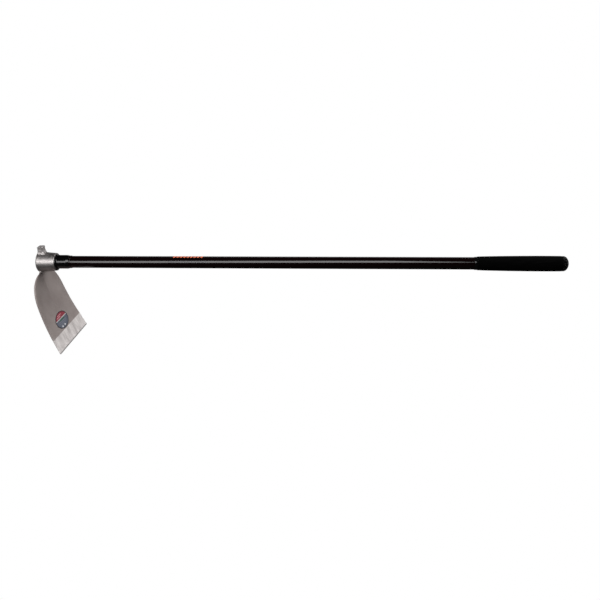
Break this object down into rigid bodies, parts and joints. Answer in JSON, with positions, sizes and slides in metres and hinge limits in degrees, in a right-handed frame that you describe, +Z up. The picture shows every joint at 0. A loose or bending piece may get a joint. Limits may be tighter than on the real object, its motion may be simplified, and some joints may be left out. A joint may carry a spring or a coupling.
{
  "type": "eye hoe",
  "caption": "Long-handled eye hoe: broad curved steel blade with a ground edge under a tapered steel eye and poll, on a straight black tube handle with a swelled rubber grip.",
  "frame": {"origin": "centre of the flat front face of the plug in the eye, on the handle's axis", "axes": "+X along the handle from the head to the grip, +Z up out of the poll's flat face and away from the cutting edge, Y across the blade"},
  "size_m": [1.372, 0.192, 0.2718],
  "materials": {
    "blade_steel": "matte grey-brown lacquered steel with a lighter ground bevel",
    "eye_steel": "satin forged steel with light casting texture",
    "weld_steel": "rippled weld bead, brushed bright",
    "pin_steel": "satin, slightly darker than the eye",
    "plug_resin": "moulded matte black",
    "tube_black": "gloss black fibreglass with a faint maroon cast",
    "core_wood": "plain hardwood",
    "sleeve_black": "gloss black moulded boot",
    "grip_rubber": "matte black with faint lengthwise marks and a dimpled end",
    "label_print": "printed film label in slate blue and maroon with plain bars",
    "print_orange": "printed orange-red bar",
    "print_pale": "printed pale line"
  },
  "bodies": {
    "root": {"blade": "blade_steel", "blade_weld": "weld_steel", "eye_collar": "eye_steel", "poll": "eye_steel", "poll_weld": "weld_steel", "eye_plug": "plug_resin", "head_pin": "pin_steel", "handle_tube": "tube_black", "core_dowel": "core_wood", "sleeve": "sleeve_black", "sleeve_ring": "sleeve_black", "grip": "grip_rubber", "grip_ring": "grip_rubber", "tube_end_plug": "plug_resin", "blade_label": "label_print", "print_bar": "print_orange", "print_line": "print_pale"}
  },
  "joints": []
}
